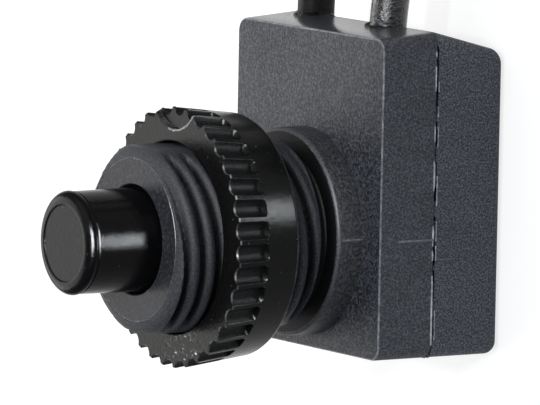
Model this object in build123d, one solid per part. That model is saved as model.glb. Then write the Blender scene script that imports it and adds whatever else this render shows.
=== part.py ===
from build123d import *
import math
import os

# A panel-mounted push-button switch: a two-part housing with a threaded bushing, a scalloped ring nut,
# a sprung button that turns an indexing contact rotor, and two insulated leads.
# Millimetres. The bushing's axis is Z, the housing's rear face is Z = 0, the button points to +Z
# and the leads leave the housing at its +Y end, on the parting plane.

# Housing
HOUSING_WIDTH = 15.8
LEAD_END_REACH = 11.85  # axis to the front face's edge at the lead end
FAR_END_REACH = 6.85  # axis to the opposite edge
FRONT_DEPTH = 3.75
REAR_DEPTH = 4.7
RIDGE_RISE = 0.32  # how far the lead end stands out at the parting plane
REAR_END_DROP = 1.25  # how far it falls back again at the rear face
CORNER_RADIUS = 0.8
FRONT_EDGE_RADIUS = 0.15
REAR_EDGE_RADIUS = 0.65
SIDE_WALL = 1.1
LEAD_WALL = 2.25
FRONT_WALL = 1.25
REAR_WALL = 1.0
CAVITY_CORNER = 0.8
LIP_HEIGHT = 0.8  # locating lip of the rear cover
LIP_THICKNESS = 0.45
LIP_CLEARANCE = 0.05

# Bushing, on the front half
BOSS_RADIUS = 6.1
BOSS_HEIGHT = 1.7
THREAD_RADIUS = 5.556
NECK_RELIEF = 0.8
NECK_LENGTH = 0.85
BUSHING_LENGTH = 11.9  # front face to the bushing's end
FLAT_DEPTH = 0.206
BUSHING_CHAMFER = 0.6
MOUTH_CLEARANCE = 0.2
MOUTH_DEPTH = 7.0

# Ring nut
NUT_STANDOFF = 3.18  # gap from the boss to the nut
NUT_LENGTH = 4.4
NUT_RADIUS = 7.6
NUT_TAPER = 0.52  # how much smaller its rear edge is
NUT_REAR_EDGE = 0.25
NUT_FRONT_EDGE = 0.1
THREAD_CLEARANCE = 0.08
NUT_COUNTERSINK = 0.12
SCALLOP_COUNT = 36
SCALLOP_TURN = -1.2  # degrees from +X to the first scallop
SCALLOP_LENGTH = 2.1
SCALLOP_RADIUS = 0.55
SCALLOP_DEPTH = 0.44
GATE_RADIUS = 2.7
GATE_DEPTH = 0.3
GATE_REACH = 6.3  # axis to the gate recess's inner edge

# Button
BUTTON_RADIUS = 3.02
BUTTON_DRAFT = 0.06  # how much it narrows towards its rim
BUTTON_PROTRUSION = 4.65
GUIDE_CLEARANCE = 0.07
RIM_STEP = 0.06
RIM_LENGTH = 0.48
RIM_ROUND = 0.4
FACE_BORDER = 0.4
FACE_SINK = 0.06
COLLAR_RADIUS = 4.1
STOP_GAP = 0.03
STROKE = 2.2
KEY_WIDTH = 1.4
KEY_REACH = 1.5  # how far the guide keys stand out past the collar
KEY_CLEARANCE = 0.12

# Return spring
SPRING_LENGTH = 7.8
SPRING_RADIUS = 1.3  # to the middle of the wire
SPRING_WIRE = 0.3
SPRING_PITCH = 1.25
SPRING_CLEARANCE = 0.3

# Rotor and contacts
STRIP_THICKNESS = 0.3
CONTACT_HEIGHT = 0.18
CONTACT_RADIUS = 0.8
CONTACT_GAP = 0.02
SPIDER_THICKNESS = 0.25
SPIDER_ARM_WIDTH = 1.5
SPIDER_INSET = 0.2
SPIDER_HUB_RADIUS = 1.6
DISC_SIDE_GAP = 0.65
DISC_THICKNESS = 0.8
TOOTH_COUNT = 8
TOOTH_HEIGHT = 0.9
TOOTH_LAND = 0.15  # from the button's hollow to its teeth
TOOTH_LENGTH = 1.3
TOOTH_GAP = 0.1
SPINDLE_LENGTH = 4.65
NOSE_LENGTH = 1.2
PIVOT_RADIUS = 0.8
PIVOT_CLEARANCE = 0.07
SOCKET_DEPTH = 0.45
PIVOT_END_GAP = 0.05

# Terminals and leads
LEAD_RADIUS = 1.1
LEAD_GRIP = 0.02
LEFT_LEAD_INSET = 2.58  # housing's side to the middle of the left lead
LEAD_SPACING = 7.66
LEAD_SHOW = 0.1  # insulation that stands inside the cavity
CONDUCTOR_RADIUS = 0.55
CRIMP_CLEARANCE = 0.02
BARREL_WALL = 0.28
BARREL_LENGTH = 2.4
STRIP_WIDTH = 1.4
STRIP_SIDE_GAP = 0.4
RISER_WIDTH = 1.2
PAD_MARGIN = 0.2

# Hank of the leads' unseen length
HANK_NEAR_Y = 30.0  # middle of the near fold
HANK_RUN = 33.0
HANK_WIDTH = 18.6
TIE_THICKNESS = 0.35
TIE_WIDTH = 3.0
TIE_PLACE = 6.0  # from the near fold's middle
LEFT_EXIT_RUN = 6.9
RIGHT_EXIT_RUN = 7.2
RIGHT_ENTRY = 4.0  # how far before the near fold's middle the right lead has swung out
ARC_SHARE = 0.45  # share of the shorter run that each bend takes up

# Radii worked out from the sizes above
NECK_RADIUS = THREAD_RADIUS - NECK_RELIEF
MOUTH_RADIUS = BUTTON_RADIUS + MOUTH_CLEARANCE
NUT_REAR_RADIUS = NUT_RADIUS - NUT_TAPER
NECK_BEHIND_RIM = BUTTON_RADIUS - BUTTON_DRAFT
RIM_RADIUS = NECK_BEHIND_RIM + RIM_STEP
FACE_RADIUS = RIM_RADIUS - RIM_ROUND - FACE_BORDER
SPINDLE_RADIUS = SPRING_RADIUS + SPRING_WIRE / 2
HOLLOW_RADIUS = SPINDLE_RADIUS + SPRING_CLEARANCE
NOSE_RADIUS = SPRING_RADIUS - SPRING_WIRE / 2 - SPRING_CLEARANCE
TOOTH_INNER_RADIUS = HOLLOW_RADIUS + TOOTH_LAND
KEY_INNER_RADIUS = TOOTH_INNER_RADIUS + TOOTH_LENGTH + 2 * KEY_CLEARANCE
KEY_OUTER_RADIUS = COLLAR_RADIUS + KEY_REACH
BARREL_RADIUS = CONDUCTOR_RADIUS + CRIMP_CLEARANCE + BARREL_WALL

# Heights worked out from the sizes above
PARTING_Z = REAR_DEPTH
FRONT_Z = REAR_DEPTH + FRONT_DEPTH
BOSS_Z = FRONT_Z + BOSS_HEIGHT
THREAD_Z = BOSS_Z + NECK_LENGTH
BUSHING_END_Z = FRONT_Z + BUSHING_LENGTH
INNER_FRONT_Z = FRONT_Z - FRONT_WALL
STRIP_TOP_Z = REAR_WALL + STRIP_THICKNESS
SPIDER_Z = STRIP_TOP_Z + CONTACT_HEIGHT + CONTACT_GAP
DISC_Z = SPIDER_Z + SPIDER_THICKNESS
DISC_TOP_Z = DISC_Z + DISC_THICKNESS
COLLAR_Z = DISC_TOP_Z + TOOTH_HEIGHT + TOOTH_GAP + STROKE
COLLAR_TOP_Z = INNER_FRONT_Z - STOP_GAP
SPRING_SEAT_Z = DISC_TOP_Z + SPINDLE_LENGTH
HOLLOW_TOP_Z = SPRING_SEAT_Z + SPRING_LENGTH
BUTTON_END_Z = BUSHING_END_Z + BUTTON_PROTRUSION
NUT_Z = BOSS_Z + NUT_STANDOFF
NUT_END_Z = NUT_Z + NUT_LENGTH
KEY_END_Z = DISC_TOP_Z + TOOTH_HEIGHT + KEY_CLEARANCE
LEFT_HANK_Z = TIE_THICKNESS
RIGHT_HANK_Z = LEFT_HANK_Z + 2 * LEAD_RADIUS

# Plan of the cavity, and the places that follow from it
CAVITY_SIDE = HOUSING_WIDTH / 2 - SIDE_WALL
CAVITY_FAR = FAR_END_REACH - SIDE_WALL
CAVITY_NEAR = LEAD_END_REACH - LEAD_WALL
FRONT_CAVITY = (-CAVITY_SIDE, CAVITY_SIDE, -CAVITY_FAR, CAVITY_NEAR)  # least and greatest x, then y
LIP_DEPTH = LIP_CLEARANCE + LIP_THICKNESS
DISC_RADIUS = CAVITY_FAR - LIP_DEPTH - DISC_SIDE_GAP
SPIDER_REACH = DISC_RADIUS - SPIDER_INSET
CONTACT_PLACE = SPIDER_REACH - CONTACT_RADIUS
STRIP_OUTER_X = CAVITY_SIDE - LIP_DEPTH - STRIP_SIDE_GAP
PAD_INNER_X = CONTACT_PLACE - CONTACT_RADIUS - PAD_MARGIN
LEFT_LEAD_X = LEFT_LEAD_INSET - HOUSING_WIDTH / 2
RIGHT_LEAD_X = LEFT_LEAD_X + LEAD_SPACING
LEAD_START_Y = CAVITY_NEAR - LIP_DEPTH - LEAD_SHOW

# Corners of each lead's route, from the crimp to the hank
HANK_BUNDLE = 4 * LEAD_RADIUS
STRAND_X = HANK_WIDTH / 2 - LEAD_RADIUS
LEFT_STRAND_Z = LEFT_HANK_Z + LEAD_RADIUS
RIGHT_STRAND_Z = RIGHT_HANK_Z + LEAD_RADIUS
RIGHT_ENTRY_Y = HANK_NEAR_Y - RIGHT_ENTRY
LEFT_ROUTE = [
    (LEFT_LEAD_X, LEAD_START_Y, PARTING_Z),
    (LEFT_LEAD_X, LEAD_START_Y + LEFT_EXIT_RUN, PARTING_Z),
    (-STRAND_X, HANK_NEAR_Y - LEFT_EXIT_RUN, LEFT_STRAND_Z),
    (-STRAND_X, HANK_NEAR_Y, LEFT_STRAND_Z),
]
RIGHT_ROUTE = [
    (RIGHT_LEAD_X, LEAD_START_Y, PARTING_Z),
    (RIGHT_LEAD_X, LEAD_START_Y + RIGHT_EXIT_RUN, PARTING_Z),
    (STRAND_X, RIGHT_ENTRY_Y, RIGHT_STRAND_Z),
    (STRAND_X, RIGHT_ENTRY_Y + RIGHT_EXIT_RUN, RIGHT_STRAND_Z),
]


def inset(limits, distance):
    """The same limits drawn in by a distance on every side."""
    x0, x1, y0, y1 = limits
    return (x0 + distance, x1 - distance, y0 + distance, y1 - distance)


def block(limits, z0, z1, corner=0.0):
    """An upright block between two heights, with rounded corners."""
    x0, x1, y0, y1 = limits
    if corner > 0:
        outline = RectangleRounded(x1 - x0, y1 - y0, corner)
    else:
        outline = Rectangle(x1 - x0, y1 - y0)
    return extrude(Pos((x0 + x1) / 2, (y0 + y1) / 2, z0) * outline, z1 - z0)


def post(radius, z0, z1, x=0.0, y=0.0):
    """An upright cylinder between two heights."""
    return extrude(Pos(x, y, z0) * Circle(radius), z1 - z0)


def turned(points):
    """A body turned about Z from (radius, height) corners."""
    outline = Plane.XZ * make_face(Polyline(*points, close=True))
    return revolve(outline, Axis.Z)


def along_lead(radius, x, y0, y1):
    """A cylinder along a lead's straight stretch on the parting plane."""
    section = Plane((x, y0, PARTING_Z), x_dir=(1, 0, 0), z_dir=(0, 1, 0)) * Circle(radius)
    return extrude(section, y1 - y0)


def housing_half(profile):
    """A half of the case: a (y, z) profile across the width, with its four upright corners rounded."""
    face = Plane.YZ * make_face(Polyline(*profile, close=True))
    half = extrude(face, HOUSING_WIDTH / 2, both=True)
    depth = half.bounding_box().size.Z
    corners = half.edges().filter_by(lambda edge: edge.bounding_box().size.Z > depth / 2)
    return fillet(corners, CORNER_RADIUS)


def lead_grooves():
    """The two round passages that the halves leave for the leads."""
    groove_radius = LEAD_RADIUS + LEAD_GRIP
    far_y = LEAD_END_REACH + RIDGE_RISE + LEAD_WALL
    left = along_lead(groove_radius, LEFT_LEAD_X, LEAD_START_Y - LIP_THICKNESS, far_y)
    return left + along_lead(groove_radius, RIGHT_LEAD_X, LEAD_START_Y - LIP_THICKNESS, far_y)


def make_front_housing():
    """Front half of the case with the boss, relief neck and double-flatted bushing in one moulding."""
    ridge_y = LEAD_END_REACH + RIDGE_RISE
    case = housing_half(
        [
            (-FAR_END_REACH, PARTING_Z),
            (ridge_y, PARTING_Z),
            (LEAD_END_REACH, FRONT_Z),
            (-FAR_END_REACH, FRONT_Z),
        ]
    )
    case = fillet(case.faces().sort_by(Axis.Z)[-1].edges(), FRONT_EDGE_RADIUS)
    case -= block(FRONT_CAVITY, PARTING_Z, INNER_FRONT_Z, CAVITY_CORNER)

    thread = turned(
        [
            (0, FRONT_Z - FRONT_WALL / 2),
            (NECK_RADIUS, FRONT_Z - FRONT_WALL / 2),
            (NECK_RADIUS, THREAD_Z),
            (THREAD_RADIUS, THREAD_Z),
            (THREAD_RADIUS, BUSHING_END_Z - BUSHING_CHAMFER),
            (THREAD_RADIUS - BUSHING_CHAMFER, BUSHING_END_Z),
            (0, BUSHING_END_Z),
        ]
    )
    flat_y = THREAD_RADIUS - FLAT_DEPTH
    thread &= block((-NUT_RADIUS, NUT_RADIUS, -flat_y, flat_y), INNER_FRONT_Z, BUSHING_END_Z)
    body = case + thread + post(BOSS_RADIUS, FRONT_Z - FRONT_WALL / 2, BOSS_Z)

    for side in (-1, 1):
        near, far = sorted((side * KEY_INNER_RADIUS, side * KEY_OUTER_RADIUS))
        body += block((near, far, -KEY_WIDTH / 2, KEY_WIDTH / 2), KEY_END_Z, INNER_FRONT_Z)

    body -= post(BUTTON_RADIUS + GUIDE_CLEARANCE, INNER_FRONT_Z, BUSHING_END_Z)
    body -= post(MOUTH_RADIUS, BUSHING_END_Z - MOUTH_DEPTH, BUSHING_END_Z)
    return body - lead_grooves()


def make_rear_cover():
    """Rear half of the case with its locating lip and the rotor's pivot socket."""
    ridge_y = LEAD_END_REACH + RIDGE_RISE
    case = housing_half(
        [
            (-FAR_END_REACH, 0),
            (ridge_y - REAR_END_DROP, 0),
            (ridge_y, PARTING_Z),
            (-FAR_END_REACH, PARTING_Z),
        ]
    )
    case = fillet(case.faces().sort_by(Axis.Z)[0].edges(), REAR_EDGE_RADIUS)
    lip_outer = inset(FRONT_CAVITY, LIP_CLEARANCE)
    lip_inner = inset(lip_outer, LIP_THICKNESS)
    lip_corner = CAVITY_CORNER - LIP_CLEARANCE
    cavity = block(lip_inner, REAR_WALL, PARTING_Z + LIP_HEIGHT, lip_corner - LIP_THICKNESS)
    case += block(lip_outer, PARTING_Z - LIP_HEIGHT, PARTING_Z + LIP_HEIGHT, lip_corner)
    case -= cavity
    case -= post(PIVOT_RADIUS + PIVOT_CLEARANCE, REAR_WALL - SOCKET_DEPTH, REAR_WALL)
    return case - lead_grooves()


def make_nut():
    """Ring nut: a plain tapered rim, scallops open to the front and a gate recess in the front face."""
    bore = THREAD_RADIUS + THREAD_CLEARANCE
    nut = turned(
        [
            (bore, NUT_Z + NUT_COUNTERSINK),
            (bore + NUT_COUNTERSINK, NUT_Z),
            (NUT_REAR_RADIUS - NUT_REAR_EDGE, NUT_Z),
            (NUT_REAR_RADIUS, NUT_Z + NUT_REAR_EDGE),
            (NUT_RADIUS, NUT_END_Z - NUT_FRONT_EDGE),
            (NUT_RADIUS - NUT_FRONT_EDGE, NUT_END_Z),
            (bore + NUT_COUNTERSINK, NUT_END_Z),
            (bore, NUT_END_Z - NUT_COUNTERSINK),
        ]
    )
    slope = NUT_TAPER / NUT_LENGTH
    scallop_place = NUT_RADIUS - SCALLOP_DEPTH + SCALLOP_RADIUS - slope * SCALLOP_LENGTH
    scallop_end = Plane((scallop_place, 0, NUT_END_Z - SCALLOP_LENGTH), z_dir=(slope, 0, 1))
    scallop = extrude(scallop_end * Circle(SCALLOP_RADIUS), NUT_LENGTH)
    pitch = 360 / SCALLOP_COUNT
    nut -= [Rot(0, 0, SCALLOP_TURN + pitch * step) * scallop for step in range(SCALLOP_COUNT)]
    return nut - post(GATE_RADIUS, NUT_END_Z - GATE_DEPTH, NUT_END_Z, y=GATE_REACH + GATE_RADIUS)


def crown(base_z, tip_z, tip_side):
    """Ratchet teeth round the axis: right-angled wedges with their tips on one side."""
    half_width = math.pi * TOOTH_INNER_RADIUS / TOOTH_COUNT - TOOTH_GAP / 2
    wedge = Polyline(
        (-half_width, base_z), (half_width, base_z), (tip_side * half_width, tip_z), close=True
    )
    tooth = extrude(Plane.YZ.offset(TOOTH_INNER_RADIUS) * make_face(wedge), TOOTH_LENGTH)
    return [Rot(0, 0, 360 * step / TOOTH_COUNT) * tooth for step in range(TOOTH_COUNT)]


def make_button():
    """Hollow button with a rounded rim, a sunk face and a keyed collar that carries ratchet teeth."""
    rim_z = BUTTON_END_Z - RIM_LENGTH
    button = turned(
        [
            (0, COLLAR_Z),
            (COLLAR_RADIUS, COLLAR_Z),
            (COLLAR_RADIUS, COLLAR_TOP_Z),
            (BUTTON_RADIUS, COLLAR_TOP_Z),
            (BUTTON_RADIUS, BUSHING_END_Z),
            (NECK_BEHIND_RIM, rim_z),
            (RIM_RADIUS, rim_z),
            (RIM_RADIUS, BUTTON_END_Z),
            (0, BUTTON_END_Z),
        ]
    )
    rim = button.edges().filter_by(GeomType.CIRCLE).sort_by(Axis.Z)[-1]
    button = fillet(rim, RIM_ROUND)
    button -= post(FACE_RADIUS, BUTTON_END_Z - FACE_SINK, BUTTON_END_Z)
    button += crown(COLLAR_Z, COLLAR_Z - TOOTH_HEIGHT, -1)
    notch_width = KEY_WIDTH + 2 * KEY_CLEARANCE
    for side in (-1, 1):
        near, far = sorted((side * (KEY_INNER_RADIUS - KEY_CLEARANCE), side * KEY_OUTER_RADIUS))
        button -= block((near, far, -notch_width / 2, notch_width / 2), COLLAR_Z, COLLAR_TOP_Z)
    return button - post(HOLLOW_RADIUS, COLLAR_Z, HOLLOW_TOP_Z)


def make_spring():
    """Return spring between the rotor's spindle and the end of the button's hollow, of six-sided wire."""
    rise = SPRING_LENGTH - SPRING_WIRE
    coil = Pos(0, 0, SPRING_SEAT_Z + SPRING_WIRE / 2) * Helix(SPRING_PITCH, rise, SPRING_RADIUS)
    section = Plane(origin=coil @ 0, z_dir=coil % 0) * RegularPolygon(SPRING_WIRE / 2, 6)
    return sweep(section, path=coil, is_frenet=True)


def make_rotor():
    """Indexing rotor: a disc with ratchet teeth, a spindle for the spring and a pivot below."""
    pivot_end_z = REAR_WALL - SOCKET_DEPTH + PIVOT_END_GAP
    rotor = turned(
        [
            (0, pivot_end_z),
            (PIVOT_RADIUS, pivot_end_z),
            (PIVOT_RADIUS, DISC_Z),
            (DISC_RADIUS, DISC_Z),
            (DISC_RADIUS, DISC_TOP_Z),
            (SPINDLE_RADIUS, DISC_TOP_Z),
            (SPINDLE_RADIUS, SPRING_SEAT_Z),
            (NOSE_RADIUS, SPRING_SEAT_Z),
            (NOSE_RADIUS, SPRING_SEAT_Z + NOSE_LENGTH),
            (0, SPRING_SEAT_Z + NOSE_LENGTH),
        ]
    )
    return rotor + crown(DISC_TOP_Z, DISC_TOP_Z + TOOTH_HEIGHT, 1)


def make_spider():
    """Four-armed contact plate fixed under the rotor."""
    half_width = SPIDER_ARM_WIDTH / 2
    limits = (-SPIDER_REACH, SPIDER_REACH, -half_width, half_width)
    arms = block(limits, SPIDER_Z, DISC_Z)
    plate = post(SPIDER_HUB_RADIUS, SPIDER_Z, DISC_Z) + arms + Rot(0, 0, 90) * arms
    return plate - post(PIVOT_RADIUS + PIVOT_CLEARANCE, SPIDER_Z, DISC_Z)


def make_terminal(side, lead_x):
    """Brass terminal: contact pad and leg on the floor, a riser and a crimp barrel on the lead's line."""
    barrel_y = LEAD_START_Y - CRIMP_CLEARANCE - BARREL_LENGTH
    riser_y = barrel_y + STRIP_THICKNESS
    outer_x = side * STRIP_OUTER_X
    leg_x = sorted((outer_x, outer_x - side * STRIP_WIDTH))
    leg = (leg_x[0], leg_x[1], -STRIP_WIDTH / 2, riser_y)
    pad_x = sorted((outer_x, side * PAD_INNER_X))
    pad = (pad_x[0], pad_x[1], -STRIP_WIDTH / 2, STRIP_WIDTH / 2)
    riser = (lead_x - RISER_WIDTH / 2, lead_x + RISER_WIDTH / 2, barrel_y, riser_y)
    foot_x = sorted((outer_x, lead_x - side * RISER_WIDTH / 2))
    foot = (foot_x[0], foot_x[1], riser_y - STRIP_WIDTH, riser_y)
    terminal = block(leg, REAR_WALL, STRIP_TOP_Z) + block(pad, REAR_WALL, STRIP_TOP_Z)
    terminal += block(foot, REAR_WALL, STRIP_TOP_Z) + block(riser, REAR_WALL, PARTING_Z)
    terminal += along_lead(BARREL_RADIUS, lead_x, barrel_y, barrel_y + BARREL_LENGTH)
    bore = along_lead(CONDUCTOR_RADIUS + CRIMP_CLEARANCE, lead_x, barrel_y, LEAD_START_Y)
    return terminal - bore


def make_contact(side):
    """Silver contact on a terminal's pad."""
    return post(CONTACT_RADIUS, STRIP_TOP_Z, STRIP_TOP_Z + CONTACT_HEIGHT, side * CONTACT_PLACE)


def make_conductor(lead_x):
    """Bare strands from the lead's end through the crimp barrel."""
    return along_lead(CONDUCTOR_RADIUS, lead_x, LEAD_START_Y - BARREL_LENGTH, LEAD_START_Y)


def make_lead(name, route):
    """Insulated lead along straight runs and the widest arcs that they allow."""
    corners = [Vector(*point) for point in route]
    runs = [end - start for start, end in zip(corners, corners[1:])]
    radii = []
    for before, after in zip(runs, runs[1:]):
        half_turn = math.radians(before.get_angle(after)) / 2
        radii.append(ARC_SHARE * min(before.length, after.length) / math.tan(half_turn))
    path = FilletPolyline(*corners, radius=radii)
    lead = sweep(Plane(origin=corners[0], z_dir=runs[0]) * Circle(LEAD_RADIUS), path=path)
    straight_volume = math.pi * LEAD_RADIUS**2 * path.length
    print(name, "bend radii", [round(radius, 1) for radius in radii])
    print(name, "volume against section times length", round(lead.volume / straight_volume, 4))
    return lead


def make_hank(z):
    """Outer form of one lead's folded turns, an open oval lying flat."""
    middle = Pos(0, HANK_NEAR_Y + HANK_RUN / 2, z) * Rot(0, 0, 90)
    oval = SlotCenterToCenter(HANK_RUN, HANK_WIDTH)
    opening = SlotCenterToCenter(HANK_RUN, HANK_WIDTH - 2 * HANK_BUNDLE)
    return extrude(middle * (oval - opening), 2 * LEAD_RADIUS)


def make_tie():
    """Strap tie round the hank's left run."""
    middle_y = HANK_NEAR_Y + TIE_PLACE
    top_z = RIGHT_HANK_Z + 2 * LEAD_RADIUS
    bundle = (
        -HANK_WIDTH / 2,
        HANK_BUNDLE - HANK_WIDTH / 2,
        middle_y - TIE_WIDTH / 2,
        middle_y + TIE_WIDTH / 2,
    )
    x0, x1, y0, y1 = bundle
    strap = block((x0 - TIE_THICKNESS, x1 + TIE_THICKNESS, y0, y1), 0, top_z + TIE_THICKNESS)
    strap = fillet(strap.edges().filter_by(Axis.Y), TIE_THICKNESS)
    return strap - block(bundle, LEFT_HANK_Z, top_z)


nodes = {
    "front_housing": make_front_housing(),
    "rear_cover": make_rear_cover(),
    "knurled_nut": make_nut(),
    "push_button": make_button(),
    "return_spring": make_spring(),
    "index_rotor": make_rotor(),
    "contact_spider": make_spider(),
    "left_terminal": make_terminal(-1, LEFT_LEAD_X),
    "right_terminal": make_terminal(1, RIGHT_LEAD_X),
    "left_contact": make_contact(-1),
    "right_contact": make_contact(1),
    "left_conductor": make_conductor(LEFT_LEAD_X),
    "right_conductor": make_conductor(RIGHT_LEAD_X),
    "left_lead": make_lead("left_lead", LEFT_ROUTE),
    "right_lead": make_lead("right_lead", RIGHT_ROUTE),
    "left_lead_hank": make_hank(LEFT_HANK_Z),
    "right_lead_hank": make_hank(RIGHT_HANK_Z),
    "lead_tie": make_tie(),
}

os.makedirs("parts", exist_ok=True)
for name, solid in nodes.items():
    export_step(solid, f"parts/{name}.step")
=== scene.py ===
import math

import bmesh
import bpy
from mathutils import Matrix, Vector, noise


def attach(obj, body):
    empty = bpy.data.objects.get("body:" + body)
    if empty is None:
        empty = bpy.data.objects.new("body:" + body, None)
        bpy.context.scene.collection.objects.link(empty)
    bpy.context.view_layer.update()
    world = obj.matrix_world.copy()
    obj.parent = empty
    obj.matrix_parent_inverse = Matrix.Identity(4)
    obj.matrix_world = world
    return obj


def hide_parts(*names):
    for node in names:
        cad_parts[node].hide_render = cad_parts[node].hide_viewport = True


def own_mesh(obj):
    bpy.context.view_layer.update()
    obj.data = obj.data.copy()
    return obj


# The dressed push-button switch, in the CAD model's own frame: metres, the bushing's axis on Z,
# the rear face at Z = 0 and the leads at the +Y end. Sizes below are in millimetres. A slope is
# the part of a face's unit normal that lies along an axis.

MM = 0.001
WELD_DISTANCE = 0.0005
TOUCH = 0.001

# Housing
HALF_WIDTH = 7.9
FAR_Y = -6.85
FRONT_LEAD_Y = 11.85
RIDGE_Y = 12.17
REAR_LEAD_Y = 10.92
PARTING_Z = 4.7
FRONT_Z = 8.45
CORNER_RADIUS = 0.8
LEAST_CORNER = 0.1
CORNER_STEPS = 8
RUN_STEPS = 60
FRONT_EDGE = 0.15
FRONT_EDGE_STEPS = 4
REAR_EDGE = 0.65
REAR_EDGE_STEPS = 8
FLAT_SLOPE = 0.9
EDGE_SLOPE = 0.4
CAVITY_SIDE = 6.8
CAVITY_FAR_Y = -5.75
CAVITY_NEAR_Y = 9.6
CAVITY_CORNER = 0.8
INNER_FRONT_Z = 7.2
REAR_WALL_Z = 1.0
LIP_RISE = 0.8
LIP_GAP = 0.05
LIP_THICKNESS = 0.45

# Parting line: a groove of uneven depth, and flash that stands proud here and there
GROOVE_WIDTH = 0.068
GROOVE_DEPTHS = (0.02, 0.6)
GROOVE_LEAN = 0.045
GROOVE_EVEN_Y = 3.0
GROOVE_SEEN = 0.1
FLASH_WIDTH = 0.15
FLASH_HEIGHTS = (-0.05, 0.06)
FLASH_LEAN = -0.02
FLASH_EVEN_Y = 4.0
FLASH_SEEN = 0.006
CLOSING_Y = (10.9, 11.5)
SLOW_SWING = 1.3
SLOW_WAVES = 0.9
QUICK_SWING = 0.9
QUICK_WAVES = 3.1
FRONT_SEED = 3
REAR_SEED = 11
FLASH_SEED_STEP = 7

# Witness ridges on the side and on the boss
WITNESS_Y = 0.1
WITNESS_HALF_WIDTH = 0.13
WITNESS_HEIGHT = 0.07
WITNESS_TOP_Z = 7.2
WITNESS_SLOPE = 0.3

# Bushing
BOSS_RADIUS = 6.1
BOSS_Z = 10.15
BOSS_EDGE = 0.22
BOSS_EDGE_STEPS = 4
ROOT_SINK = 0.1
ROOT_LAP = 0.2
NECK_RADIUS = 4.756
NECK_FILLET = 0.1
BUSHING_END_Z = 20.35
BUSHING_COLUMNS = 256
THREAD_Z = 11.0
THREAD_RADIUS = 5.556
THREAD_PITCH = 1.05
THREAD_STARTS = 3
THREAD_DEPTH = 0.6
THREAD_CROWN = 0.14
THREAD_FLOOR = 0.12
THREAD_GROOVE = 0.25
THREAD_RUN_IN = 0.3
THREAD_RUN_OUT = 0.15
THREAD_ROWS = 190
GROOVE_Z = 18.9
FLAT_Y = 5.35
FLAT_FADE = (0.80, 0.95)
CHAMFER = 0.6
CHAMFER_REACH = 0.78
CHAMFER_ROWS = 14
END_ROUND_TURN = math.radians(62)
END_STEP = 0.03
MOUTH_RADIUS = 3.22
MOUTH_EDGE = 0.05
MOUTH_WALL = 0.5
MOUTH_STEP_Z = 13.35
GUIDE_RADIUS = 3.09

# Ring nut
NUT_Z = 13.33
NUT_END_Z = 17.73
NUT_RADIUS = 7.6
NUT_REAR_RADIUS = 7.08
NUT_BORE = 5.636
NUT_COUNTERSINK = 0.06
NUT_FRONT_EDGE = 0.08
NUT_REAR_EDGE = 0.25
NUT_EDGE_BEND = 0.3
NUT_EDGE_SLOPES = (0.3, 0.95)
NUT_SIDE_SLOPE = 0.5
RIM_ROWS = 56
FACE_ROWS = 34
SCALLOP_COUNT = 36
SCALLOP_TURN = math.radians(-1.2)
SCALLOP_LENGTH = 2.1
SCALLOP_RADIUS = 0.55
SCALLOP_DEPTH = 0.42
SCALLOP_END_ROUND = 0.3
SCALLOP_CORNER = 0.6
SCALLOP_RISE = 0.35
SCALLOP_SPARE = 0.05
RIDGE_TOP = 0.003
EDGE_DROP = 0.06
GATE_Y = 9.0
GATE_RADIUS = 2.7
GATE_DEPTH = 0.3
GATE_WALL = 0.1
GATE_EDGE = 0.1
GATE_HIGHLIGHT_X = -0.6
CHIP_DEPTH = 0.08
CHIP_SLOPE = 0.85
CHIP_TURN = math.radians(12)
CHIP_SPREAD = (0.93, 0.995)
CHIP_RANGE = (0.25, 0.5)
CHIP_DENSITY = 5
CHIP_SEED = 4.0
CHIP_CLEARANCE = 0.1

# Button
BUTTON_RADIUS = 3.02
BUTTON_END_Z = 25.0
BUTTON_COLUMNS = 128
NECK_BEHIND_RIM = 2.96
NECK_FLARE = 0.01
UNDERCUT = 0.04
UNDERCUT_DROPS = (0.16, 0.1, 0.04)
RIM_RADIUS = 3.02
RIM_CORNER = 0.02
RIM_LENGTH = 0.56
RIM_RISE = 0.48
RIM_WIDTH = 0.75
RIM_STEPS = 12
FACE_RADIUS = 2.22
FACE_SINK = 0.06
FACE_LIP = 0.02
FACE_LIP_DROP = 0.01
FACE_FOOT = 0.03
AXIS_RADIUS = 0.001
COLLAR_Z = 5.75
COLLAR_TOP_Z = 7.17
COLLAR_RADIUS = 4.1
HOLLOW_RADIUS = 1.75
HOLLOW_TOP_Z = 15.0
TOOTH_COUNT = 8
TOOTH_HEIGHT = 0.9
TOOTH_INNER = 1.9
TOOTH_LENGTH = 1.3
TOOTH_HALF_WIDTH = 0.69

# Return spring
SPRING_LOW_Z = 7.2
SPRING_HIGH_Z = 15.0
SPRING_RADIUS = 1.3
SPRING_WIRE = 0.15
SPRING_TURNS = 6
SPRING_STEPS = 32
WIRE_STEPS = 10

# Leads and hank
LEAD_RADIUS = 1.1
LEAD_START_Y = 9.0
LEFT_LEAD_X = -5.32
RIGHT_LEAD_X = 2.34
HANK_NEAR_Y = 30.0
HANK_FAR_Y = 63.0
OUTER_STRAND_X = 8.2
RETURN_STRAND_X = 7.3
INNER_STRAND_X = 5.95
LEFT_LAYER_Z = 1.45
RIGHT_LAYER_Z = 3.65
LEFT_END_Y = 42.0
RIGHT_END_Y = 43.0
FOLD_POINTS = 9
LEAD_SECTION_STEPS = 8
LEAD_SPLINE_ORDER = 3
LEAD_SPLINE_STEPS = 10
STRIPPED_LENGTH = 8.0
STRIPPED_LAP = 0.3
STRAND_RADIUS = 0.18
STRAND_CIRCLE = 0.36
STRANDS_AROUND = 6
STRAND_TWIST = 2.2
STRAND_RINGS = 24
STRAND_SIDES = 8

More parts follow.
